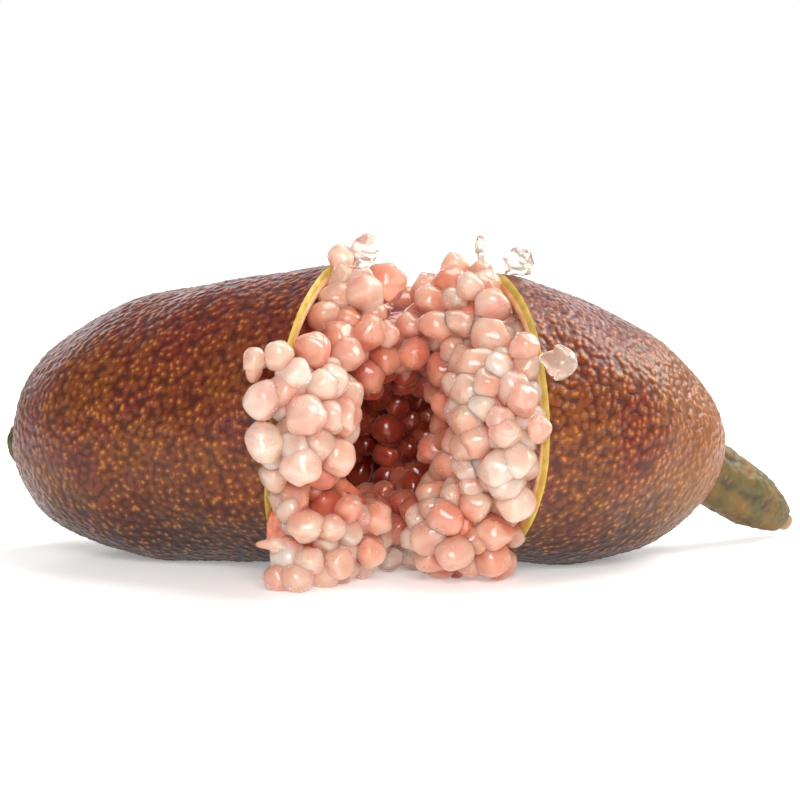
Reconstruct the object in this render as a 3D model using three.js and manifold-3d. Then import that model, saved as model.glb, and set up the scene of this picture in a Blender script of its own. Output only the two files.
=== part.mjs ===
// A finger lime, cut across and snapped open: two cups of thin pebbled peel lie on their sides with
// their cut faces turned outwards in a shallow V, and round juice vesicles spill from the opening.
// Millimetres, +Z up. +X runs from the blossom end to the stalk end, and -Y is the side that is open.
// The origin is on the table, under the middle of the fruit.
import * as THREE from "three";
import { mergeVertices } from "three/addons/utils/BufferGeometryUtils.js";
import Module from "manifold-3d";

const wasm = await Module();
wasm.setup();

// Driving dimensions
const PEEL = 1.2; // thickness of the peel
const GAP = 0.3; // clearance between neighbouring pieces
const PULP_RECESS = 1.0; // how far the packed pulp stays below the cut face
const REST_FLAT = 0.2; // how much the skin is pressed flat where it lies on the table
const BEYOND_CUT = 14; // length of uncut fruit that the knife takes away
const ROUND = 32; // facets round each half
const ALONG = 12; // facets along each half
const deg = THREE.MathUtils.degToRad;

// Each half: where its widest section is, how its axis is turned, its own shape, and its cut face.
// yaw turns the axis back from -X or +X, droop lowers the tip, and bluntness and fullness are the two
// powers of the superellipse that its outline follows.
const BLOSSOM_HALF = {
  centre: new THREE.Vector3(-5.9, -2, 13.3),
  yaw: deg(180 - 25), droop: deg(8.7),
  length: 28.9, radius: 11.95, bluntness: 2.9, fullness: 2.64,
  cut: { centre: new THREE.Vector3(-7.4, -2, 12.9), yaw: deg(180 - 17), lean: deg(-8.4) },
};
const STALK_HALF = {
  centre: new THREE.Vector3(6.9, -2, 12.7),
  yaw: deg(28), droop: deg(12.9),
  length: 22.4, radius: 11.75, bluntness: 2.27, fullness: 1.91,
  cut: { centre: new THREE.Vector3(7.3, -2, 12.2), yaw: deg(23), lean: deg(2) },
};

// Loose and spilled vesicles, by the heap that they lie in: x, y, z and radius of each, and where it
// isn't round, its stretch along X, Y and Z.
const VESICLES = {
  blossom_crown: [
    [-2.9, -3.0, 26.4, 1.2], [-4.9, -4.4, 24.2, 1.25],
    [-1.7, -3.4, 24.2, 1.65], [-3.2, -6.0, 23.2, 1.45], [-6.2, -7.4, 21.7, 1.35],
    [-3.0, -7.6, 20.7, 1.45], [-4.4, -9.6, 19.0, 1.4],
  ],
  blossom_side: [
    [-7.1, -11.8, 19.3, 1.4], [-11.6, -13.4, 18.2, 1.25, 0.8, 1, 1.2], [-8.7, -14.0, 17.6, 1.5],
    [-5.7, -12.6, 16.9, 1.4], [-10.9, -14.7, 15.6, 1.5], [-10.3, -15.0, 12.7, 1.55],
    [-7.6, -15.3, 14.6, 1.6], [-8.3, -15.2, 11.2, 1.6], [-4.7, -13.7, 14.1, 1.4],
    [-5.4, -14.0, 11.4, 1.4], [-6.2, -10.6, 9.3, 1.2], [-8.4, -12.2, 7.9, 1.25],
    [-5.8, -11.2, 6.8, 1.2],
  ],
  foot: [
    [-7.7, -13.3, 5.4, 1.4], [-7.6, -13.3, 2.7, 1.25], [-5.0, -12.2, 2.5, 1.25],
    [-4.7, -11.2, 4.9, 1.3], [-10.2, -13.0, 3.9, 0.8, 1.6, 1, 0.8], [-10.0, -13.2, 1.05, 1.05],
    [-2.6, -10.4, 3.0, 1.15], [-2.1, -9.6, 5.3, 1.3],
  ],
  stalk_crown: [
    [0.8, -1.6, 19.0, 1.35], [3.1, -4.4, 20.0, 1.5], [2.2, -1.8, 23.6, 1.3],
    [4.5, -1.6, 25.1, 1.2], [4.4, -4.7, 22.8, 1.15], [6.6, -4.0, 23.7, 1.35],
    [6.2, -1.0, 26.4, 0.5, 1, 1, 2.6], [9.6, -1.4, 25.6, 1.25, 1.1, 1, 0.95],
  ],
  stalk_side: [
    [7.3, -8.4, 20.2, 1.6], [5.2, -7.2, 17.9, 1.4], [9.9, -10.6, 19.5, 1.2],
    [12.6, -13.9, 18.7, 1.35, 1.15, 0.9, 1],
    [9.6, -12.9, 15.5, 1.25], [8.3, -13.8, 13.0, 1.2], [5.3, -10.9, 11.6, 1.3],
    [7.8, -13.2, 10.1, 1.5], [10.9, -14.1, 13.4, 1.0], [5.6, -11.2, 8.5, 1.0],
    [9.2, -12.2, 7.1, 1.4, 1, 1, 1.2], [7.4, -10.8, 4.6, 1.4], [3.0, -6.4, 7.4, 1.5],
    [4.5, -8.6, 4.9, 1.45], [2.2, -6.6, 3.9, 1.35], [5.5, -9.0, 2.1, 1.3],
  ],
};

// The lumps of matted pulp that the spilled vesicles cling to: centre and half sizes of each. Those of
// the bridge are the torn middle, which still holds the two halves together at the back.
const PULP_LUMPS = {
  blossom_half_pulp: [
    [-4.6, -3.5, 20.0, 4.2, 3.6, 4.2], [-8.8, -10.2, 13.5, 4.6, 3.2, 5.2], [-7.0, -8.3, 5.0, 4.9, 4.3, 4.3],
  ],
  stalk_half_pulp: [
    [5.4, -3.2, 20.2, 4.0, 3.6, 4.0], [7.8, -8.7, 13.3, 3.8, 3.6, 5.7], [5.1, -6.8, 4.7, 4.3, 4.4, 4.0],
  ],
  bridge_pulp: [
    [-0.4, 6.0, 12.0, 6.5, 4.0, 10.0], [0.8, 0.2, 19.0, 4.4, 5.6, 2.9], [0.2, 0.4, 3.7, 4.4, 5.4, 2.7],
  ],
};

// The green stalk leaves the tip of its half, droops towards the table, and ends in a small scar.
// Each outline is a list of radius and height along the piece.
const STALK_ROUTE = [
  [24.0, 6.9, 8.3], [27.3, 9.5, 5.9], [29.8, 11.5, 4.1], [31.5, 12.8, 2.9], [33.7, 14.4, 1.2],
];
const STALK_OUTLINE = [
  [0, 0], [2.7, 0], [2.75, 3], [2.5, 6], [2.25, 8], [1.85, 10], [1.4, 11.2], [0.8, 11.7],
  [0.7, 12.4], [0, 12.6],
];
const BUTTON_OUTLINE = [[0, -1.2], [2.3, -1.2], [2.2, 0.5], [1.7, 1.4], [0.8, 1.9], [0, 2.0]];

const skin = new THREE.MeshStandardMaterial({ color: 0x83503a, roughness: 0.45, metalness: 0 });
const green = new THREE.MeshStandardMaterial({ color: 0x79663e, roughness: 0.6, metalness: 0 });
const flesh = new THREE.MeshStandardMaterial({ color: 0xb8452e, roughness: 0.3, metalness: 0 });
const pearl = new THREE.MeshStandardMaterial({ color: 0xf0b49a, roughness: 0.2, metalness: 0 });

// A closed three.js geometry as a manifold-3d solid, and back.
function solid(geometry) {
  const plain = geometry.clone();
  plain.deleteAttribute("normal");
  plain.deleteAttribute("uv");
  const merged = mergeVertices(plain, 1e-4);
  return new wasm.Manifold(new wasm.Mesh({
    numProp: 3,
    vertProperties: merged.attributes.position.array,
    triVerts: new Uint32Array(merged.index.array),
  }));
}

function meshOf(name, body, material) {
  const { vertProperties, triVerts } = largestPiece(body).getMesh();
  const geometry = new THREE.BufferGeometry();
  geometry.setAttribute("position", new THREE.BufferAttribute(new Float32Array(vertProperties), 3));
  geometry.setIndex(new THREE.BufferAttribute(new Uint32Array(triVerts), 1));
  geometry.computeVertexNormals();
  const mesh = new THREE.Mesh(geometry, material);
  mesh.name = name;
  return mesh;
}

function largestPiece(body) {
  return body.decompose().sort((a, b) => b.volume() - a.volume())[0];
}

// Spins an outline of [radius, height] pairs, listed upwards, and lays its axis along +X.
function spun(outline, segments) {
  const points = outline.map(([radius, height]) => new THREE.Vector2(radius, height));
  return new THREE.LatheGeometry(points, segments).rotateZ(-Math.PI / 2);
}

function axisMatrix({ centre, yaw, droop }) {
  const turn = new THREE.Euler(0, droop, yaw, "ZYX");
  return new THREE.Matrix4().makeRotationFromEuler(turn).setPosition(centre);
}

// The uncut fruit that a half comes from, with its surface moved out by grow.
function fruit(half, grow = 0) {
  const { length, radius, bluntness, fullness } = half;
  const outline = [[0, -BEYOND_CUT], [radius + grow, -BEYOND_CUT]];
  for (let i = 0; i < ALONG; i++) {
    const along = Math.sin((i / ALONG) * (Math.PI / 2));
    const girth = (1 - along ** bluntness) ** (1 / fullness);
    outline.push([(radius + grow) * girth, (length + grow) * along]);
  }
  outline.push([0, length + grow]);
  return solid(spun(outline, ROUND).applyMatrix4(axisMatrix(half)));
}

// Everything on the far side of a half's cut face, moved towards its tip by depth.
function knife({ cut }, depth = 0) {
  const size = 80;
  const block = new THREE.BoxGeometry(size, size, size).translate(depth - size / 2, 0, 0);
  return solid(block.applyMatrix4(axisMatrix({ centre: cut.centre, yaw: cut.yaw, droop: cut.lean })));
}

const table = solid(new THREE.BoxGeometry(200, 200, 40).translate(0, 0, REST_FLAT - 20));

function peel(half) {
  return fruit(half).subtract(fruit(half, -PEEL)).subtract(knife(half)).subtract(table);
}

// The peel with room round it, for cutting its neighbours clear.
function peelWithGap(half) {
  return fruit(half, GAP).subtract(fruit(half, -PEEL - GAP)).subtract(knife(half, -GAP));
}

// The pulp packed inside a half, where the name is a half's, with its lumps, all grown by grow.
function pulp(name, grow = 0) {
  const half = HALVES[name.replace("_pulp", "")];
  const packed = half ? [fruit(half, grow - PEEL - GAP).subtract(knife(half, PULP_RECESS - grow))] : [];
  const lumps = PULP_LUMPS[name].map(([x, y, z, ...size]) =>
    solid(new THREE.SphereGeometry(1, 14, 9).scale(...size.map((a) => a + grow)).translate(x, y, z)));
  return [...packed, ...lumps].reduce((sum, body) => sum.add(body));
}

// Vesicles shoulder each other apart, and what still overlaps makes both a little smaller.
function settled(heaps) {
  const inHeap = ([heap, places]) => places.map(([x, y, z, radius, ...stretch], i) => ({
    name: heap + "_vesicle_" + (i + 1),
    at: new THREE.Vector3(x, y, z),
    radius,
    stretch: stretch.length ? stretch : [1, 1, 1],
    reach: radius * Math.max(1, ...stretch),
  }));
  const all = Object.entries(heaps).flatMap(inHeap);
  const between = (a, b) => a.at.distanceTo(b.at) - GAP;
  const pairs = all.flatMap((a, i) => all.slice(i + 1).map((b) => [a, b]));
  for (let round = 0; round < 40; round++) {
    for (const [a, b] of pairs) {
      const overlap = a.reach + b.reach - between(a, b);
      if (overlap <= 0) continue;
      const push = b.at.clone().sub(a.at).setLength(overlap * 0.1);
      a.at.sub(push);
      b.at.add(push);
    }
    for (const v of all) v.at.z = Math.max(v.at.z, v.radius * v.stretch[2] + REST_FLAT);
  }
  for (const [a, b] of pairs) {
    const share = Math.min(1, between(a, b) / (a.reach + b.reach));
    for (const v of [a, b]) {
      v.radius *= share;
      v.reach *= share;
    }
  }
  return all;
}

function vesicle({ at, radius, stretch }, grow = 0) {
  const ball = new THREE.IcosahedronGeometry(radius + grow, 1).scale(...stretch);
  return solid(ball.translate(at.x, at.y, at.z));
}

// An outline spun round a curved route: each ring of the straight body moves to its place on the curve.
function bent(outline, route, segments) {
  const curve = new THREE.CatmullRomCurve3(route.map((p) => new THREE.Vector3(...p)));
  const straight = spun(outline, segments);
  const place = straight.attributes.position;
  const length = outline.at(-1)[1];
  const up = new THREE.Vector3(0, 0, 1);
  for (let i = 0; i < place.count; i++) {
    const share = THREE.MathUtils.clamp(place.getX(i) / length, 0, 1);
    const forward = curve.getTangentAt(share);
    const side = new THREE.Vector3().crossVectors(up, forward).normalize();
    const top = new THREE.Vector3().crossVectors(forward, side);
    const point = curve.getPointAt(share);
    point.addScaledVector(side, place.getY(i)).addScaledVector(top, place.getZ(i));
    place.setXYZ(i, point.x, point.y, point.z);
  }
  return solid(straight);
}

const HALVES = { blossom_half: BLOSSOM_HALF, stalk_half: STALK_HALF };
const finger = new THREE.Group();
const vesicles = settled(VESICLES);
const walls = Object.values(HALVES).map(peelWithGap);
const clearOfWalls = (body) => walls.reduce((rest, wall) => rest.subtract(wall), body);
const clearOfVesicles = (body) => vesicles.reduce((rest, v) => rest.subtract(vesicle(v, GAP)), body);

for (const [name, half] of Object.entries(HALVES)) finger.add(meshOf(name + "_peel", peel(half), skin));

// Each pulp gives way to the ones before it, to the peel, to the vesicles and to the table.
const earlier = [];
for (const name of Object.keys(PULP_LUMPS)) {
  const whole = earlier.reduce((rest, other) => rest.subtract(other), pulp(name));
  finger.add(meshOf(name, clearOfVesicles(clearOfWalls(whole)).subtract(table), flesh));
  earlier.push(pulp(name, GAP));
}

const button = spun(BUTTON_OUTLINE, 16).translate(BLOSSOM_HALF.length, 0, 0);
finger.add(meshOf("blossom_button",
  solid(button.applyMatrix4(axisMatrix(BLOSSOM_HALF))).subtract(fruit(BLOSSOM_HALF, GAP)), green));
finger.add(meshOf("stalk", bent(STALK_OUTLINE, STALK_ROUTE, 16).subtract(fruit(STALK_HALF, GAP)), green));

for (const v of vesicles) finger.add(meshOf(v.name, clearOfWalls(vesicle(v)), pearl));

// The origin goes under the middle of the finished fruit, on the table.
const extent = new THREE.Box3().setFromObject(finger);
const middle = extent.getCenter(new THREE.Vector3());
finger.position.set(-middle.x, -middle.y, -extent.min.z);
const part = new THREE.Group();
part.add(finger);

export default part;
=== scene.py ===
import math
import random

import bpy
import numpy as np
from mathutils import Matrix, Vector, noise


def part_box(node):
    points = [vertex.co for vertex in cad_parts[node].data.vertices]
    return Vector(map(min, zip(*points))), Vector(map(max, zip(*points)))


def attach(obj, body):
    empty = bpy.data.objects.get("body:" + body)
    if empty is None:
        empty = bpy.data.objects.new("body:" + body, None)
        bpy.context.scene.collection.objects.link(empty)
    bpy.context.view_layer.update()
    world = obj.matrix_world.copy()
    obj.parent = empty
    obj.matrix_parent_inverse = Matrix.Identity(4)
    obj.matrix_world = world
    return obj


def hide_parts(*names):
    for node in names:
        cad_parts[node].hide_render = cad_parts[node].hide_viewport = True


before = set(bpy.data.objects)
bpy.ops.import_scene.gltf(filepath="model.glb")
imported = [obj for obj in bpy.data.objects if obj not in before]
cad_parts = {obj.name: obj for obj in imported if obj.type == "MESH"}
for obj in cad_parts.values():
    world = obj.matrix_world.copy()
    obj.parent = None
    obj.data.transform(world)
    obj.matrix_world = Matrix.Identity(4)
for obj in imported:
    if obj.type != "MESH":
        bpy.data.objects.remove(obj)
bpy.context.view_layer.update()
noise.seed_set(7)

MM = 0.001
# Where the middle of the modelled fruit lies in the frame, which is centred on the finished piece.
SHIFT = Vector((-0.101, 0.600, -0.200)) * MM


def mm(x, y, z):
    """A place given in millimetres from the fruit's own middle, in the frame."""
    return Vector((x, y, z)) * MM + SHIFT


# ---------------------------------------------------------------- studio

scene = bpy.context.scene
scene.view_settings.view_transform = "Standard"

VIEW_UP = math.radians(7.5)
AIM = mm(0, 0, 12.5)
DISTANCE = 330 * MM
camera_data = bpy.data.cameras.new("camera")
camera_data.sensor_width = 36
camera_data.lens = 178.2
camera_data.clip_start = 0.01
camera_data.shift_x = -0.0025
camera_data.shift_y = 0.0216
camera = bpy.data.objects.new("camera", camera_data)
camera.location = AIM + DISTANCE * Vector((0, -math.cos(VIEW_UP), math.sin(VIEW_UP)))
camera.rotation_euler = (math.pi / 2 - VIEW_UP, 0, 0)
scene.collection.objects.link(camera)
scene.camera = camera


def softbox(name, place, size, power, colour=(1, 1, 1)):
    data = bpy.data.lights.new(name, "AREA")
    data.shape = "RECTANGLE"
    data.size, data.size_y = size
    data.energy = power
    data.color = colour
    lamp = bpy.data.objects.new(name, data)
    lamp.location = place
    lamp.rotation_euler = (AIM - lamp.location).to_track_quat("-Z", "Y").to_euler()
    scene.collection.objects.link(lamp)


softbox("overhead", Vector((0.12, 0.12, 0.45)), (0.36, 0.26), 1.5, (1, 0.96, 0.92))
softbox("rear_right", Vector((0.34, 0.20, 0.26)), (0.26, 0.22), 1.7, (1, 0.91, 0.82))
softbox("rear_rim", Vector((-0.10, 0.50, 0.16)), (0.70, 0.14), 0.8, (0.95, 0.97, 1))
softbox("front", Vector((0.05, -0.50, 0.24)), (0.30, 0.24), 2.6)


# ---------------------------------------------------------------- shader maths


class Value:
    """A socket in a material, with arithmetic that adds Math nodes."""

    def __init__(self, finish, socket):
        self.finish = finish
        self.socket = socket

    def _math(self, operation, *terms):
        return self.finish.add("ShaderNodeMath", {"operation": operation}, dict(enumerate(terms)))

    def __add__(self, other):
        return self._math("ADD", self, other)

    def __radd__(self, other):
        return self._math("ADD", other, self)

    def __sub__(self, other):
        return self._math("SUBTRACT", self, other)

    def __mul__(self, other):
        return self._math("MULTIPLY", self, other)

    def over(self, low, high):
        """0 below low, 1 above high and smooth between, or the other way round if low is larger."""
        ends = {0: self, 1: low, 2: high, 3: 0.0, 4: 1.0}
        if low > high:
            ends = {0: self, 1: high, 2: low, 3: 1.0, 4: 0.0}
        return self.finish.add("ShaderNodeMapRange", {"interpolation_type": "SMOOTHSTEP"}, ends)


class Finish:
    """A material and the nodes that it is made of."""

    def __init__(self, name):
        self.material = bpy.data.materials.new(name)
        self.material.use_nodes = True
        self.tree = self.material.node_tree
        self.tree.nodes.clear()
        self.place = self.add("ShaderNodeTexCoord", {}, {}, "Object")

    def add(self, kind, settings, inputs, output=0):
        node = self.tree.nodes.new(kind)
        for key, value in settings.items():
            if key == "stops":
                ramp = node.color_ramp
                while len(ramp.elements) < len(value):
                    ramp.elements.new(0.5)
                for stop, (position, colour) in zip(ramp.elements, value):
                    stop.position = position
                    stop.color = (*colour, 1)
            else:
                setattr(node, key, value)
        for key, value in inputs.items():
            socket = node.inputs[key]
            if isinstance(value, Value):
                self.tree.links.new(value.socket, socket)
            elif socket.type == "RGBA" and len(value) == 3:
                socket.default_value = (*value, 1)
            else:
                socket.default_value = value
        return Value(self, node.outputs[output])

    def mix(self, factor, first, second, blend="MIX"):
        return self.add(
            "ShaderNodeMix",
            {"data_type": "RGBA", "blend_type": blend, "clamp_factor": True},
            {0: factor, 6: first, 7: second},
            2,
        )

    def clouds(self, size, detail=2.0, roughness=0.5, shift=0.0):
        """Soft patches about size millimetres across, from 0 to 1."""
        moved = {0: self.place, 1: (shift, shift, shift)}
        where = self.add("ShaderNodeVectorMath", {"operation": "ADD"}, moved)
        return self.add(
            "ShaderNodeTexNoise",
            {},
            {"Vector": where, "Scale": 1 / (size * MM), "Detail": detail, "Roughness": roughness},
        )

    def attribute(self, name):
        return self.add("ShaderNodeAttribute", {"attribute_name": name}, {}, "Fac")

    def bump(self, height, depth, strength=1.0):
        return self.add(
            "ShaderNodeBump", {}, {"Height": height, "Distance": depth * MM, "Strength": strength}, "Normal"
        )

    def surface(self, **inputs):
        named = {key.replace("_", " "): value for key, value in inputs.items()}
        shader = self.add("ShaderNodeBsdfPrincipled", {}, named)
        self.add_output(shader)
        return self.material

    def add_output(self, shader):
        output = self.tree.nodes.new("ShaderNodeOutputMaterial")
        self.tree.links.new(shader.socket, output.inputs["Surface"])


def paint(red, green, blue):
    """A colour as a paint chart gives it, 0 to 255, as light."""
    parts = (red / 255, green / 255, blue / 255)
    return tuple(c / 12.92 if c <= 10 / 255 else ((c + 0.055) / 1.055) ** 2.4 for c in parts)


# ---------------------------------------------------------------- finishes


def peel_skin():
    finish = Finish("peel_skin")
    gland = finish.attribute("gland")
    high = finish.add("ShaderNodeSeparateXYZ", {}, {0: finish.place}, "Z")
    side = finish.add("ShaderNodeSeparateXYZ", {}, {0: finish.place}, "X")
    brown = finish.mix(finish.clouds(5.0, 3).over(0.35, 0.65), paint(104, 46, 16), paint(116, 60, 16))
    plum = finish.mix(finish.clouds(7.0, 3, 0.6, 0.3).over(0.4, 0.66), brown, paint(104, 36, 24))
    shoulder = high.over(0.014, 0.023)
    red = finish.mix(shoulder * 0.7, plum, paint(102, 34, 24))
    low = high.over(0.013, 0.002) * finish.clouds(6.0, 2, 0.5, 0.7).over(0.3, 0.6)
    olive = finish.mix(low * 0.6, red, paint(78, 52, 12))
    # The peel is darkened to near-black brown towards the bottom, where it faces the floor: painted shade.
    painted_belly_shade = finish.mix(high.over(0.007, 0.001) * 0.8, olive, paint(36, 20, 16))
    dark = finish.mix(gland.over(0.35, 0.0) * 0.7, painted_belly_shade, paint(48, 14, 8))
    freckle = gland.over(0.45, 0.75) * (0.35 + finish.clouds(1.3, 1, 0.5, 0.5).over(0.3, 0.6) * 0.65)
    gold = finish.mix(freckle * 0.6, dark, paint(196, 124, 40))
    blossom_tip = finish.mix(side.over(-0.026, -0.033) * 0.3, gold, paint(120, 72, 54))
    ends = finish.mix(side.over(0.018, 0.028) * 0.4, blossom_tip, paint(168, 112, 44))
    grain = finish.clouds(0.2, 2, 0.6)
    height = gland * 0.75 + grain * 0.25
    return finish.surface(
        Base_Color=ends,
        Roughness=0.3 + finish.clouds(1.1, 2).over(0.3, 0.7) * 0.14,
        Specular_IOR_Level=0.3,
        Coat_Weight=0.1,
        Coat_Roughness=0.2,
        Normal=finish.bump(height, 0.1, 1.0),
    )


def cut_edge():
    finish = Finish("cut_edge")
    tone = finish.clouds(1.2, 3).over(0.3, 0.7)
    colour = finish.mix(tone, paint(206, 178, 84), paint(174, 146, 58))
    return finish.surface(
        Base_Color=colour,
        Roughness=0.5,
        Subsurface_Weight=0.3,
        Subsurface_Radius=(1.0, 0.8, 0.3),
        Subsurface_Scale=0.6 * MM,
        Normal=finish.bump(finish.clouds(0.25, 2), 0.03, 0.6),
    )


def lining():
    finish = Finish("lining")
    tone = finish.clouds(1.5, 3).over(0.3, 0.7)
    colour = finish.mix(tone, paint(236, 204, 152), paint(222, 166, 118))
    return finish.surface(
        Base_Color=colour,
        Roughness=0.55,
        Subsurface_Weight=0.4,
        Subsurface_Radius=(1.0, 0.5, 0.3),
        Subsurface_Scale=1.0 * MM,
        Normal=finish.bump(finish.clouds(0.3, 3), 0.05, 0.6),
    )


def gel(name, transmission):
    """Juice under a thin skin. The attribute ripe runs from 0, nearly clear, to 1, deep red, and holds each vesicle's
    own tone with painted light and shade laid over it.
    """
    finish = Finish(name)
    cloudy = finish.attribute("ripe") + (finish.clouds(1.1, 2) - 0.5) * 0.3
    peach = finish.add(
        "ShaderNodeValToRGB",
        {
            "stops": (
                (0.0, paint(252, 240, 228)),
                (0.25, paint(248, 208, 186)),
                (0.45, paint(242, 172, 142)),
                (0.7, paint(202, 96, 68)),
                (1.0, paint(104, 14, 6)),
            )
        },
        {"Fac": cloudy},
    )
    pink = finish.clouds(4.0, 1, 0.5, 0.2).over(0.45, 0.65) * 0.35
    colour = finish.mix(pink, peach, paint(236, 158, 150), "MULTIPLY")
    return finish.surface(
        Base_Color=colour,
        Roughness=0.16 + finish.clouds(0.9, 2).over(0.35, 0.7) * 0.12,
        Transmission_Weight=transmission,
        IOR=1.36,
        Subsurface_Weight=1.0,
        Subsurface_Radius=(1.0, 0.6, 0.45),
        Subsurface_Scale=1.5 * MM,
        Coat_Weight=0.6,
        Coat_Roughness=0.1,
        Sheen_Weight=0.3,
        Sheen_Roughness=0.3,
        Sheen_Tint=(1.0, 0.84, 0.76, 1.0),
        # A faint glow in the juice's own colour: painted light that stands in for light shining through the vesicles.
        Emission_Color=colour,
        Emission_Strength=0.03,
        Normal=finish.bump(finish.clouds(0.7, 2), 0.04, 0.5),
    )


def flesh():
    finish = Finish("flesh")
    veins = finish.clouds(1.2, 4, 0.65).over(0.35, 0.7)
    # Pale coral at the front and dark red towards the back: painted light at the front and painted shade at the back,
    # standing in for the shaded hollow between the halves.
    back = finish.add("ShaderNodeSeparateXYZ", {}, {0: finish.place}, "Y").over(-0.010, 0.001)
    deep = finish.mix(veins, paint(104, 18, 8), paint(150, 44, 26))
    pale = finish.mix(veins, paint(214, 104, 76), paint(240, 160, 128))
    colour = finish.mix(back, pale, deep)
    return finish.surface(
        Base_Color=colour,
        Roughness=0.3,
        Subsurface_Weight=0.6,
        Subsurface_Radius=(1.0, 0.3, 0.2),
        Subsurface_Scale=1.5 * MM,
        Normal=finish.bump(finish.clouds(0.6, 3), 0.12, 0.8),
    )


def green_skin():
    finish = Finish("green_skin")
    wrinkle = finish.attribute("wrinkle")
    tip = finish.attribute("tip")
    patch = finish.clouds(2.2, 3).over(0.35, 0.65)
    green = finish.mix(patch, paint(76, 68, 20), paint(108, 82, 32))
    # Darker in the grooves of the wrinkles, where the surface dips: painted shade.
    dark = finish.mix(wrinkle.over(0.5, 0.2) * 0.8, green, paint(48, 38, 14))
    warm = finish.mix(finish.clouds(1.1, 2, 0.5, 0.4).over(0.62, 0.72) * 0.6, dark, paint(150, 92, 36))
    scar = finish.mix(tip, warm, paint(196, 158, 124))
    return finish.surface(
        Base_Color=scar,
        Roughness=0.5 + patch * 0.12,
        Normal=finish.bump(finish.clouds(0.3, 3), 0.04, 0.7),
    )


def plain(name, colour, roughness, glow):
    finish = Finish(name)
    speck = finish.clouds(90, 2)
    return finish.surface(
        Base_Color=finish.mix(speck, colour, tuple(0.99 * c for c in colour)),
        Roughness=roughness,
        Emission_Color=(1, 1, 1),
        Emission_Strength=glow,
    )


SKIN = peel_skin()
EDGE = cut_edge()
LINING = lining()
GEL = gel("gel", 0.46)
CLEAR_GEL = gel("clear_gel", 0.85)
FLESH = flesh()
GREEN = green_skin()


# ---------------------------------------------------------------- modelling helpers


def start():
    """Deselects everything, so that an operator works only on what is made next."""
    bpy.ops.object.select_all(action="DESELECT")
    bpy.context.tool_settings.mesh_select_mode = (True, False, False)


def places(mesh):
    co = np.empty(len(mesh.vertices) * 3, np.float32)
    mesh.vertices.foreach_get("co", co)
    return co.reshape(-1, 3).astype(float)


def normals(mesh):
    out = np.empty(len(mesh.vertices) * 3, np.float32)
    mesh.vertices.foreach_get("normal", out)
    return out.reshape(-1, 3).astype(float)


def move_to(mesh, co):
    mesh.vertices.foreach_set("co", np.asarray(co, np.float32).ravel())
    mesh.update()


def mark(mesh, name, values):
    """Stores a number at each vertex, for a finish to read."""
    attribute = mesh.attributes.new(name, "FLOAT", "POINT")
    attribute.data.foreach_set("value", np.asarray(values, np.float32))


def smooth(mesh):
    mesh.polygons.foreach_set("use_smooth", [True] * len(mesh.polygons))


def finish_piece(obj, nodes):
    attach(obj, "root")
    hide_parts(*nodes)


# ---------------------------------------------------------------- peel

HALVES = {
    "blossom_half": dict(
        centre=mm(-5.9, -2, 13.3), yaw=155, droop=8.7, length=28.9, radius=11.95, bluntness=2.9, fullness=2.64,
        cut=mm(-7.4, -2, 12.9), cut_yaw=163, cut_lean=-8.4,
    ),
    "stalk_half": dict(
        centre=mm(6.9, -2, 12.7), yaw=28, droop=12.9, length=22.4, radius=11.75, bluntness=2.27, fullness=1.91,
        cut=mm(7.3, -2, 12.2), cut_yaw=23, cut_lean=2,
    ),
}
RINGS = 216
ROUND = 400
PEEL = 1.2
GLAND = 0.56 * MM


def turned(yaw, droop):
    return Matrix.Rotation(math.radians(yaw), 4, "Z") @ Matrix.Rotation(math.radians(droop), 4, "Y")


def outline(half):
    """Places along the half's axis and distances from it, evenly spaced from the tip to past the cut."""
    t = np.sin(np.linspace(math.pi / 2, 0, 800))
    along = np.append(half["length"] * t, -6.0)
    out = np.append(half["radius"] * (1 - t ** half["bluntness"]) ** (1 / half["fullness"]), half["radius"])
    run = np.append(0, np.cumsum(np.hypot(np.diff(along), np.diff(out))))
    return run / run[-1], along * MM, out * MM


def glands(co, size):
    """How far up an oil gland each place is, from 0 in the valleys to 1 on top, and an uneven swell."""
    up = np.empty(len(co))
    swell = np.empty(len(co))
    for i, p in enumerate(co):
        where = Vector(p) / size
        where += 0.25 * noise.noise_vector(where * 0.6)
        near = noise.voronoi(where)[0]
        up[i] = max(0.0, 1 - 1.35 * near[0])
        swell[i] = noise.noise(where * 0.09)
    return up, swell


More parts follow.
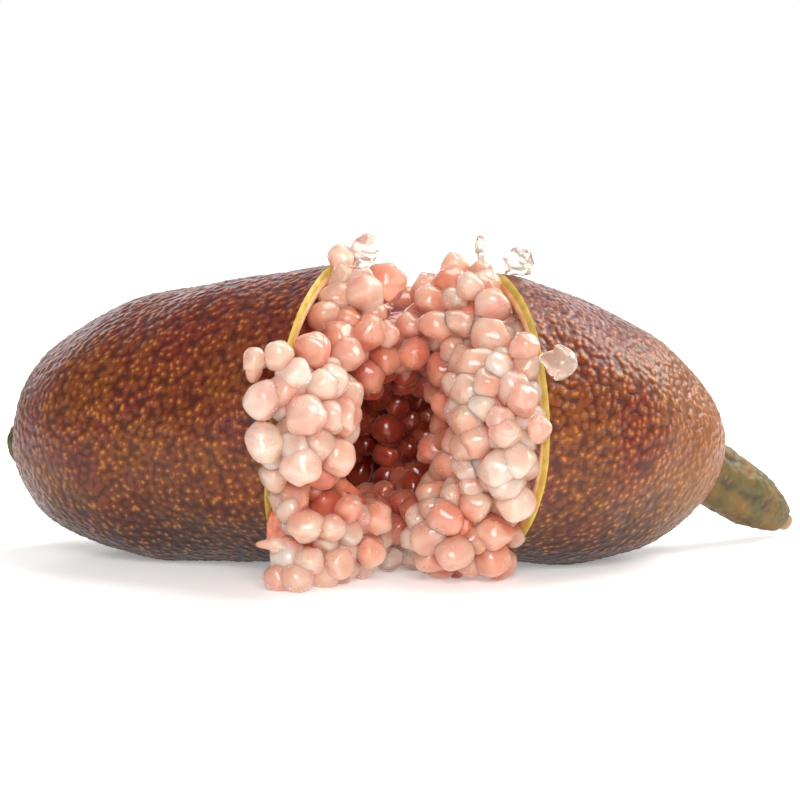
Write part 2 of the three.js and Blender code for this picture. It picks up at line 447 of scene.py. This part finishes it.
def peel(name, half):
    start()
    bpy.ops.mesh.primitive_uv_sphere_add(segments=ROUND, ring_count=RINGS, radius=1)
    obj = bpy.context.object
    obj.name = obj.data.name = name
    mesh = obj.data
    ball = places(mesh)
    share = np.arccos(np.clip(ball[:, 2], -1, 1)) / math.pi
    around = np.arctan2(ball[:, 1], ball[:, 0])
    run, along, out = outline(half)
    reach = np.interp(share / 0.98, run, along)
    girth = np.interp(share / 0.98, run, out)
    girth[share < 1e-4] = 0
    girth[share > 1 - 1e-4] = 0
    local = np.stack([reach, girth * np.cos(around), girth * np.sin(around)], 1)
    axis = Matrix.Translation(half["centre"]) @ turned(half["yaw"], half["droop"])
    turn = np.array(axis)
    move_to(mesh, local @ turn[:3, :3].T + turn[:3, 3])
    knife = turned(half["cut_yaw"], half["cut_lean"]) @ Vector((1, 0, 0))
    bpy.ops.object.mode_set(mode="EDIT")
    bpy.ops.mesh.select_all(action="SELECT")
    bpy.ops.mesh.bisect(plane_co=half["cut"], plane_no=knife, threshold=1e-7, clear_inner=True)
    bpy.ops.mesh.select_all(action="SELECT")
    bpy.ops.mesh.normals_make_consistent(inside=False)
    bpy.ops.mesh.remove_doubles(threshold=0.02 * MM)
    bpy.ops.object.mode_set(mode="OBJECT")

    co = places(mesh)
    rim = (co - np.array(half["cut"])) @ np.array(knife)
    up, swell = glands(co, GLAND)
    fade = np.clip(rim / (0.5 * MM), 0, 1)
    lift = (up - 0.4) * 0.12 * MM * fade + swell * 0.45 * MM
    move_to(mesh, co + normals(mesh) * lift[:, None])
    mark(mesh, "gland", up)

    bpy.ops.object.mode_set(mode="EDIT")
    bpy.context.tool_settings.mesh_select_mode = (False, True, False)
    bpy.ops.mesh.select_all(action="DESELECT")
    bpy.ops.mesh.select_non_manifold(extend=False, use_wire=False, use_multi_face=False, use_non_contiguous=False)
    skin_faces = len(mesh.polygons)
    rim_edges = mesh.total_edge_sel
    # The cut edge bulges a little, and the lining runs back from it: narrower by, deeper by.
    steps = [
        (0.25, -0.16), (0.3, -0.16), (0.4, -0.08), (0.35, 0.1), (0.25, 0.4), (0.1, 1.0), (0.2, 1.2), (0.3, 1.4),
    ]
    girth = half["radius"]
    centre = half["cut"].copy()
    inwards = (turned(half["yaw"], half["droop"]) @ Vector((1, 0, 0)) + knife) / 2
    for narrower, deeper in steps:
        bpy.ops.mesh.extrude_edges_move()
        factor = (girth - narrower) / girth
        bpy.ops.transform.resize(value=(factor, factor, factor), center_override=centre)
        bpy.ops.transform.translate(value=inwards * deeper * MM)
        centre += inwards * deeper * MM
        girth -= narrower
    bpy.ops.mesh.edge_face_add()
    bpy.ops.object.mode_set(mode="OBJECT")
    for material in (SKIN, EDGE, LINING):
        mesh.materials.append(material)
    for i, face in enumerate(mesh.polygons[skin_faces:]):
        face.material_index = 1 if i < 2 * rim_edges else 2
    smooth(mesh)
    finish_piece(obj, [name.replace("_skin", "_peel")])


for half_name, half_shape in HALVES.items():
    peel(half_name + "_skin", half_shape)


# ---------------------------------------------------------------- vesicles


def vesicle_shape(divisions, seed):
    """A juice vesicle: a ball drawn out a little towards its stem at -Z, with sides pressed by others."""
    start()
    bpy.ops.mesh.primitive_ico_sphere_add(subdivisions=divisions, radius=1)
    obj = bpy.context.object
    mesh = obj.data
    bpy.ops.object.mode_set(mode="EDIT")
    bpy.ops.mesh.select_all(action="DESELECT")
    bpy.ops.object.mode_set(mode="OBJECT")
    for vertex in mesh.vertices:
        vertex.select = vertex.co.z < -0.3
    bpy.ops.object.mode_set(mode="EDIT")
    bpy.ops.transform.resize(value=(0.76, 0.76, 1.4), center_override=(0, 0, -0.3))
    bpy.ops.object.mode_set(mode="OBJECT")
    co = places(mesh)
    dice = random.Random(seed)
    co[:, :2] *= (dice.uniform(0.86, 1.02), dice.uniform(0.96, 1.14))
    for _ in range(3):
        way = Vector((dice.gauss(0, 1), dice.gauss(0, 1), dice.gauss(0, 0.6))).normalized()
        past = co @ np.array(way) - dice.uniform(0.66, 0.88)
        co -= np.outer(np.maximum(past, 0) ** 1.3 * 1.1, np.array(way))
    wave = np.array([noise.noise(Vector(p) * 1.1 + Vector((seed, 0, 0))) for p in co])
    co *= (1 + 0.2 * wave)[:, None]
    faces = np.array([tuple(face.vertices) for face in mesh.polygons])
    bpy.data.objects.remove(obj)
    return co, faces


FINE = [vesicle_shape(5, 11 + i) for i in range(6)]
PLAIN = [vesicle_shape(3, 11 + i) for i in range(6)]
COARSE = [vesicle_shape(3, 31 + i) for i in range(6)]


def toward(direction, twist):
    """A turn that takes +Z to a direction, after a twist about it."""
    return direction.to_track_quat("Z", "Y").to_matrix() @ Matrix.Rotation(twist, 3, "Z")


def ripeness_and_shade(place, dice):
    """The vesicles' own tone, which differs at random, with painted light and shade laid over it: pale on the outer
    heaps, where the light falls, and deep red at the back of the hollow, where shade falls.
    """
    x, y, z = place / MM
    # Besides the random tone, every term deepens the red as painted shade: towards the back, most of all at the back of
    # the hollow, below the middle heap on the left, beside the bare pocket at the upper left, and low down on the right
    # under the stalk half.
    depth = np.clip((y + 14) / 12, 0, 1)
    hollow = np.clip(1.35 - math.hypot((x + 1.4) / 7, (z - 12.2) / 8.5), 0, 1)
    under = np.clip(1.2 - math.hypot((x + 6.5) / 3.5, (z - 7.8) / 2.2), 0, 1)
    under += np.clip(1.2 - math.hypot((x + 7) / 3.5, (z - 20.5) / 2.5), 0, 1)
    shade_low_right = np.clip((6 - z) / 4, 0, 1) * np.clip((x - 1) / 3, 0, 1)
    return 0.24 + 0.12 * depth + 0.6 * hollow * depth + 0.3 * under + 0.2 * shade_low_right + dice.uniform(-0.1, 0.1)


def heap(name, members, shapes, material):
    """One mesh of many vesicles: each member is (place, radius, direction, twist, ripe, stretch); ripe holds the
    vesicle's own tone with painted light and shade in it, and painted shade is added towards each stem.
    """
    dice = random.Random(len(members))
    co, faces, ripe, count = [], [], [], 0
    for place, radius, direction, twist, tone, stretch in members:
        body, sides = dice.choice(shapes)
        turn = np.array(toward(direction, twist))
        sized = body * np.array((radius, radius, radius * stretch))
        co.append(sized @ turn.T + np.array(place))
        faces.append(sides + count)
        # Deeper red towards the stem, which points into the heap, and paler at the tip: painted shade.
        ripe.append(tone - 0.12 * body[:, 2])
        count += len(body)
    mesh = bpy.data.meshes.new(name)
    mesh.from_pydata(np.concatenate(co).tolist(), [], np.concatenate(faces).tolist())
    mark(mesh, "ripe", np.concatenate(ripe))
    mesh.materials.append(material)
    smooth(mesh)
    mesh.update()
    obj = bpy.data.objects.new(name, mesh)
    scene.collection.objects.link(obj)
    return obj


CLEAR = {"blossom_crown_vesicle_1", "stalk_crown_vesicle_7", "stalk_crown_vesicle_8", "stalk_side_vesicle_4"}
# The middles of the heaps, which each vesicle's stem points back to.
HEAP_ROOTS = {
    "blossom_crown": mm(-7.5, 0, 18), "blossom_side": mm(-9, -6, 13), "foot": mm(-7, -5, 7),
    "stalk_crown": mm(6, 2, 17), "stalk_side": mm(9, -4, 12),
}
taken = []
dice = random.Random(5)
for node in sorted(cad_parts):
    if "_vesicle_" not in node:
        continue
    low, high = (Vector(c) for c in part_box(node))
    place = (low + high) / 2
    size = (high - low) / 2
    radius = min(size) * 1.08
    root = HEAP_ROOTS[node.split("_vesicle_")[0]]
    direction = (place - root).normalized()
    stretch = dice.uniform(0.95, 1.2)
    if max(size) > 1.25 * min(size):
        longest = max(range(3), key=lambda k: size[k])
        direction = Vector([float(k == longest) for k in range(3)])
        stretch = max(size) / min(size) / 1.2
    tone = ripeness_and_shade(place, dice)
    clear = node in CLEAR
    member = (place, radius, direction, dice.uniform(0, 6.28), 0.08 if clear else tone, stretch)
    pearl = heap(node + "_pearl", [member], [dice.choice(FINE)], CLEAR_GEL if clear else GEL)
    finish_piece(pearl, [node])
    taken.append((place, radius))


# Smaller vesicles tucked in between the large ones, in millimetres from the fruit's own middle.
TUCKED = {
    "blossom_crown": [
        (-4.5, -4, 24.7), (-1.6, -3, 24.2), (-3.5, -5.5, 23.7), (-1.4, -4, 22.7), (-6.1, -5, 21.8), (-3.3, -7, 21.6),
        (-5.0, -9, 20.1), (-3.0, -8, 19.5), (-5.0, -3, 26.0),
    ],
    "blossom_side": [
        (-9.8, -14, 19.3), (-9.2, -14.5, 16.5), (-6.4, -14, 16.9), (-5.0, -12.5, 17.4), (-5.7, -14.5, 14.4),
        (-8.4, -14.8, 12.3), (-6.9, -14.5, 12.3), (-3.9, -13, 13.0), (-8.8, -12, 11.4), (-6.1, -10, 10.0),
    ],
    "foot": [
        (-5.6, -10.6, 5.4), (-6.2, -11.8, 3.9), (-4.2, -10.6, 4.2), (-5.3, -12, 4.1), (-4.6, -12, 5.6),
        (-3.0, -10.5, 3.4), (-8.4, -14, 1.4), (-6.4, -13.5, 2.2), (-4.3, -12.5, 1.6), (-1.4, -8, 3.0), (-6.6, -13, 5.9),
    ],
    "stalk_crown": [
        (-0.9, -4, 19.8), (1.9, -3, 22.8), (3.7, -4, 22.6), (2.1, -2, 24.5), (0.4, -3, 16.8), (2.6, -4, 17.4),
        (1.5, -4, 18.1), (3.1, -4, 15.3), (0.2, 1, 22.6), (-1.2, 1, 22.0),
    ],
    "stalk_side": [
        (5.1, -6, 18.3), (7.9, -9.5, 18.2), (8.8, -11.5, 16.4), (4.4, -6, 15.9), (6.9, -9, 15.1), (5.1, -8, 13.9),
        (7.8, -13, 14.0), (4.7, -10, 11.6), (6.1, -12, 12.2), (5.7, -11, 9.4), (9.2, -13, 10.7), (3.2, -7, 8.0),
        (4.7, -9, 8.1), (6.3, -11.5, 7.6), (7.0, -11.5, 5.6), (4.3, -9, 6.4), (2.3, -7, 4.4), (1.0, -6, 5.6),
        (-0.2, -5, 4.0), (-0.2, -4, 5.9), (4.7, -8, 4.2), (3.1, -6, 2.7), (8.3, -12.5, 8.9), (3.1, -6, 10.6),
        (3.5, -6, 12.7),
    ],
}
# Nearly clear vesicles that lie loose under the middle, where the pulp has pulled away.
LOOSE = [(-0.9, -4.5, 1.2), (0.8, -4.2, 1.3), (2.2, -4.6, 1.1), (0.3, -4.0, 2.9), (-1.9, -5.5, 2.6)]
# Where the pulp has pulled away and no vesicles are left: middle and half sizes of each hollow.
BARE = [
    ((-8.2, -8, 20.6), (2.6, 5, 3.0)), ((-8.6, -10, 9.4), (2.0, 3, 1.6)), ((-1.5, -7, 10.5), (4.4, 8.5, 6.0)),
    ((-0.5, -1, 24.6), (3.2, 8, 4.2)), ((0.3, -6, 0.2), (3.4, 8, 3.4)), ((-13.2, -11, 4), (4.2, 6, 5)),
]


def bare(place):
    """Whether a place lies in one of the hollows."""
    for middle, half_sizes in BARE:
        off = place - mm(*middle)
        if sum((o / (h * MM)) ** 2 for o, h in zip(off, half_sizes)) < 1:
            return True
    return False


tucked = []
for heap_name, spots in TUCKED.items():
    for x, y, z in spots:
        place = mm(x, y, z)
        radius = dice.uniform(1.2, 1.65) * MM
        place.z = max(place.z, radius * 0.95)
        if bare(place) or any((place - other).length < 0.46 * (radius + size) for other, size in taken):
            continue
        taken.append((place, radius))
        direction = (place - HEAP_ROOTS[heap_name]).normalized()
        twist = dice.uniform(0, 6.28)
        tucked.append((place, radius, direction, twist, ripeness_and_shade(place, dice), dice.uniform(0.9, 1.35)))
loose = []
for x, y, z in LOOSE:
    place = mm(x, y, z)
    taken.append((place, 1.15 * MM))
    loose.append((place, 1.15 * MM, Vector((0, -1, 0.4)), dice.uniform(0, 6.28), 0.12, 1.1))
tucked_in = heap("tucked_in_vesicles", tucked, PLAIN, GEL)
lying_loose = heap("loose_vesicles", loose, PLAIN, CLEAR_GEL)
for spread in (tucked_in, lying_loose):
    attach(spread, "root")


def pulp_surface(node):
    """Evenly scattered places on a pulp's CAD surface, with the way out of it at each."""
    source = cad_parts[node].data
    corners = np.array([[source.vertices[i].co for i in face.vertices[:3]] for face in source.polygons])
    cross = np.cross(corners[:, 1] - corners[:, 0], corners[:, 2] - corners[:, 0])
    area = np.linalg.norm(cross, axis=1) / 2
    keep = area > 1e-12
    corners, cross, area = corners[keep], cross[keep], area[keep]
    pick = np.random.default_rng(7)
    chosen = pick.choice(len(area), 26000, p=area / area.sum())
    a, b = pick.random(len(chosen)), pick.random(len(chosen))
    flip = a + b > 1
    a[flip], b[flip] = 1 - a[flip], 1 - b[flip]
    tri = corners[chosen]
    spots = tri[:, 0] + a[:, None] * (tri[:, 1] - tri[:, 0]) + b[:, None] * (tri[:, 2] - tri[:, 0])
    return spots, cross[chosen] / (2 * area[chosen])[:, None]


def past_cut(place, half):
    """How far a place lies behind a half's cut."""
    knife = turned(half["cut_yaw"], half["cut_lean"]) @ Vector((1, 0, 0))
    return (place - half["cut"]).dot(knife)


def off_axis(place, half):
    """How far a place lies from a half's axis."""
    axis = Matrix.Translation(half["centre"]) @ turned(half["yaw"], half["droop"])
    local = axis.inverted() @ place
    return math.hypot(local.y, local.z)


def inside_cup(place, half, margin):
    """Whether a place lies deeper than margin behind a half's cut, within its peel."""
    return past_cut(place, half) >= margin and off_axis(place, half) < (half["radius"] + 1.5) * MM


def outside_skin(place, half):
    """Whether a place lies against the outside of a half's peel."""
    return past_cut(place, half) > 0.3 * MM and off_axis(place, half) > (half["radius"] - 0.6) * MM


def wall_hit(place, radius):
    """Whether a vesicle here would stick through the peel of either half."""
    for half in HALVES.values():
        inner = (half["radius"] - PEEL) * MM - 0.8 * radius
        outer = half["radius"] * MM + 0.6 * radius
        if past_cut(place, half) >= -0.5 * radius and inner < off_axis(place, half) < outer:
            return True
    return False


def fill(node, seed):
    """Packs vesicles over what shows of a pulp, clear of those placed before."""
    spots, outward = pulp_surface(node)
    dice = random.Random(seed)
    members = []
    for spot, way in zip(spots, outward):
        radius = dice.uniform(1.15, 1.6) * MM
        way = Vector(way)
        place = Vector(spot) + way * radius * dice.uniform(-0.1, 0.55)
        if place.z < radius * 0.9 or any(inside_cup(place, half, 1.8 * MM) for half in HALVES.values()):
            continue
        if any(outside_skin(place, half) for half in HALVES.values()):
            continue
        if wall_hit(place, radius) or bare(place):
            continue
        if any((place - other).length < 0.6 * (radius + size) for other, size in taken):
            continue
        taken.append((place, radius))
        lean = Vector((dice.gauss(0, 0.4), dice.gauss(0, 0.4), dice.gauss(0, 0.4)))
        tone = ripeness_and_shade(place, dice)
        direction = (way + lean).normalized()
        members.append((place, radius, direction, dice.uniform(0, 6.28), tone, dice.uniform(0.95, 1.3)))
    return members


def pulp(node, seed):
    start()
    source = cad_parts[node].data.copy()
    body = bpy.data.objects.new(node + "_flesh", source)
    scene.collection.objects.link(body)
    body.select_set(True)
    bpy.context.view_layer.objects.active = body
    bpy.ops.object.mode_set(mode="EDIT")
    bpy.ops.mesh.select_all(action="SELECT")
    bpy.ops.mesh.remove_doubles(threshold=1e-5)
    bpy.ops.object.mode_set(mode="OBJECT")
    remesh = body.modifiers.new("even", "REMESH")
    remesh.mode = "VOXEL"
    remesh.voxel_size = 0.45 * MM
    bpy.ops.object.modifier_apply(modifier=remesh.name)
    co = places(body.data)
    rough = np.array([noise.noise(Vector(p) * 700) + 0.5 * noise.noise(Vector(p) * 1500) for p in co])
    co += normals(body.data) * ((rough - 0.6) * 0.35 * MM)[:, None]
    # None of it hangs over the outside of the peel.
    for half in HALVES.values():
        knife = np.array(turned(half["cut_yaw"], half["cut_lean"]))[:3, 0]
        axis = np.array((Matrix.Translation(half["centre"]) @ turned(half["yaw"], half["droop"])).inverted())
        past = (co - np.array(half["cut"])) @ knife
        off = np.linalg.norm(co @ axis[1:3, :3].T + axis[1:3, 3], axis=1)
        over = (past > -0.2 * MM) & (off > (half["radius"] - 1.4) * MM)
        co[over] -= knife * (past[over] + 0.2 * MM)[:, None]
    move_to(body.data, co)
    body.data.materials.clear()
    body.data.materials.append(FLESH)
    smooth(body.data)
    finish_piece(body, [node])
    spread = heap(node + "_vesicles", fill(node, seed), COARSE, GEL)
    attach(spread, "root")


for k, pulp_node in enumerate(("blossom_half_pulp", "stalk_half_pulp", "bridge_pulp")):
    pulp(pulp_node, 20 + k)


# ---------------------------------------------------------------- stalk and blossom end

STALK_ROUTE = [mm(24.0, 6.9, 8.3), mm(27.3, 9.5, 5.9), mm(29.8, 11.5, 4.1), mm(31.5, 12.8, 2.9), mm(33.7, 14.4, 1.2)]
STALK_OUTLINE = [
    (0, 0), (2.7, 0.01), (2.75, 3), (2.5, 6), (2.25, 8), (1.85, 10), (1.4, 11.2), (0.8, 11.7), (0.7, 12.4), (0, 12.6),
]


def along_route(route, share):
    """A place on a smooth route through its points, and the way on from there."""
    count = len(route) - 1
    at = min(max(share * count, 0), count - 1e-6)
    i, t = int(at), at - int(at)
    before = route[i - 1] if i else 2 * route[0] - route[1]
    after = route[i + 2] if i + 2 <= count else 2 * route[count] - route[count - 1]
    a, b = route[i], route[i + 1]
    place = 0.5 * (2 * a + (b - before) * t + (2 * before - 5 * a + 4 * b - after) * t**2
                   + (3 * a - before - 3 * b + after) * t**3)
    way = 0.5 * ((b - before) + 2 * (2 * before - 5 * a + 4 * b - after) * t
                 + 3 * (3 * a - before - 3 * b + after) * t**2)
    return place, way.normalized()


def green_piece(name, node, outline_steps, place_at, scar_from):
    """A turned green piece with lengthwise wrinkles, laid along a route."""
    start()
    bpy.ops.mesh.primitive_uv_sphere_add(segments=120, ring_count=150, radius=1)
    obj = bpy.context.object
    obj.name = obj.data.name = name
    mesh = obj.data
    ball = places(mesh)
    share = 1 - np.arccos(np.clip(ball[:, 2], -1, 1)) / math.pi
    around = np.arctan2(ball[:, 1], ball[:, 0])
    out, up = (np.array(c) for c in zip(*outline_steps))
    run = np.append(0, np.cumsum(np.hypot(np.diff(up), np.diff(out))))
    run = run / run[-1]
    girth = np.interp(share, run, out) * MM
    height = np.interp(share, run, up) / up[-1]
    co = np.empty_like(ball)
    wrinkle = np.empty(len(ball))
    for i, (h, r, a) in enumerate(zip(height, girth, around)):
        place, way = place_at(h)
        side = Vector((0, 0, 1)).cross(way).normalized()
        top = way.cross(side)
        fold = noise.noise(Vector((math.cos(a) * 2.2, math.sin(a) * 2.2, h * 3.0)))
        pit = noise.noise(Vector((math.cos(a) * 5, math.sin(a) * 5, h * 22)))
        wrinkle[i] = 0.5 + 0.5 * (0.6 * fold + 0.4 * pit)
        r = r * (1 + 0.07 * fold + 0.05 * pit)
        co[i] = place + side * (math.cos(a) * r) + top * (math.sin(a) * r)
    move_to(mesh, co)
    mark(mesh, "wrinkle", wrinkle)
    mark(mesh, "tip", np.clip((height - scar_from) / (1.02 - scar_from), 0, 1))
    start()
    obj.select_set(True)
    bpy.context.view_layer.objects.active = obj
    bpy.ops.object.mode_set(mode="EDIT")
    bpy.ops.mesh.select_all(action="SELECT")
    bpy.ops.mesh.normals_make_consistent(inside=False)
    bpy.ops.object.mode_set(mode="OBJECT")
    mesh.materials.append(GREEN)
    smooth(mesh)
    finish_piece(obj, [node])


green_piece("stalk_skin", "stalk", STALK_OUTLINE, lambda share: along_route(STALK_ROUTE, share), 0.9)

BUTTON_OUTLINE = [(0, -1.2), (2.3, -1.19), (2.2, 0.5), (1.7, 1.4), (0.8, 1.9), (0, 2.0)]
blossom = HALVES["blossom_half"]
blossom_way = turned(blossom["yaw"], blossom["droop"]) @ Vector((1, 0, 0))
blossom_tip = blossom["centre"] + blossom_way * blossom["length"] * MM
button_steps = [(r, h + 1.2) for r, h in BUTTON_OUTLINE]
green_piece("blossom_button_skin", "blossom_button", button_steps,
            lambda share: (blossom_tip + blossom_way * (share * 3.2 - 1.2) * MM, blossom_way), 0.96)


# ---------------------------------------------------------------- floor and backdrop


def backdrop():
    start()
    bpy.ops.mesh.primitive_plane_add(size=1)
    floor = bpy.context.object
    floor.name = "floor"
    floor.data.materials.append(plain("pale_floor", (0.93, 0.92, 0.91), 0.6, 0.28))
    world = bpy.data.worlds.new("room")
    scene.world = world
    world.use_nodes = True
    tree = world.node_tree
    tree.nodes["Background"].inputs["Color"].default_value = (1, 1, 1, 1)
    tree.nodes["Background"].inputs["Strength"].default_value = 0.33
    paper = tree.nodes.new("ShaderNodeBackground")
    paper.inputs["Color"].default_value = (1, 1, 1, 1)
    paper.inputs["Strength"].default_value = 1.0
    seen = tree.nodes.new("ShaderNodeLightPath")
    either = tree.nodes.new("ShaderNodeMixShader")
    tree.links.new(seen.outputs["Is Camera Ray"], either.inputs[0])
    tree.links.new(tree.nodes["Background"].outputs[0], either.inputs[1])
    tree.links.new(paper.outputs[0], either.inputs[2])
    tree.links.new(either.outputs[0], tree.nodes["World Output"].inputs["Surface"])


backdrop()
